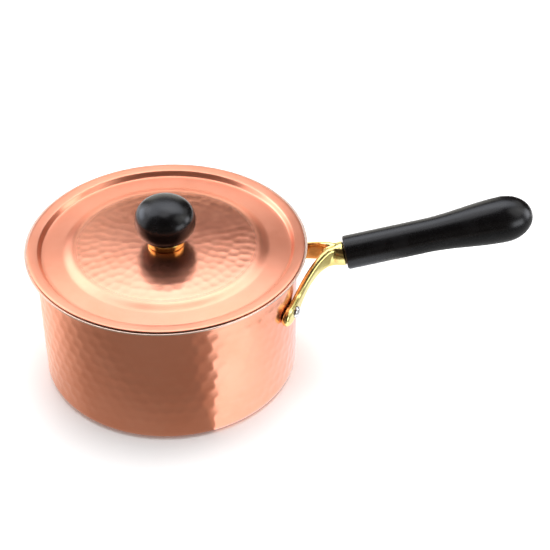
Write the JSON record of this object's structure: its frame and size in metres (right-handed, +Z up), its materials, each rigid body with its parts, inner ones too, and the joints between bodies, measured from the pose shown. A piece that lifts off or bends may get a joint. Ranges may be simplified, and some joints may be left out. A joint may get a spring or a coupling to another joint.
{
  "type": "saucepan",
  "caption": "Round hammered copper-coloured saucepan with a lift-off domed lid, a rounded black knob, a forked brass-coloured bracket and a long black bulb-ended handle.",
  "frame": {"origin": "centre of the base's underside, on the pan's axis", "axes": "+X towards the handle's end, +Y to the rear arm of the bracket, +Z up out of the pan"},
  "size_m": [0.3547, 0.197, 0.1377],
  "materials": {
    "pan_copper": "hammered copper-coloured, polished, tinned inside",
    "lid_copper": "copper-coloured, hammered middle, smooth ring",
    "bracket_brass": "cast and polished",
    "ferrule_brass": "turned and polished",
    "insert_brass": "turned",
    "grip_black": "moulded, satin gloss",
    "knob_black": "moulded, gloss",
    "plated_steel": "bright plated",
    "rivet_metal": "tinned, polished"
  },
  "bodies": {
    "pan": {"pan_shell": "pan_copper", "handle_bracket": "bracket_brass", "rivet_front": "rivet_metal", "rivet_rear": "rivet_metal", "tang_stud": "plated_steel", "grip_insert": "insert_brass", "handle_grip": "grip_black"},
    "lid": {"lid_sheet": "lid_copper", "knob_ferrule": "ferrule_brass", "lid_knob": "knob_black", "knob_insert": "insert_brass", "knob_flat_washer": "plated_steel", "knob_lock_washer": "plated_steel", "knob_screw": "plated_steel"}
  },
  "joints": [
    {"name": "lid_lift", "type": "slide", "parent": "pan", "child": "lid", "axis": [0, 0, 1], "range_m": [0, 0.06]}
  ]
}
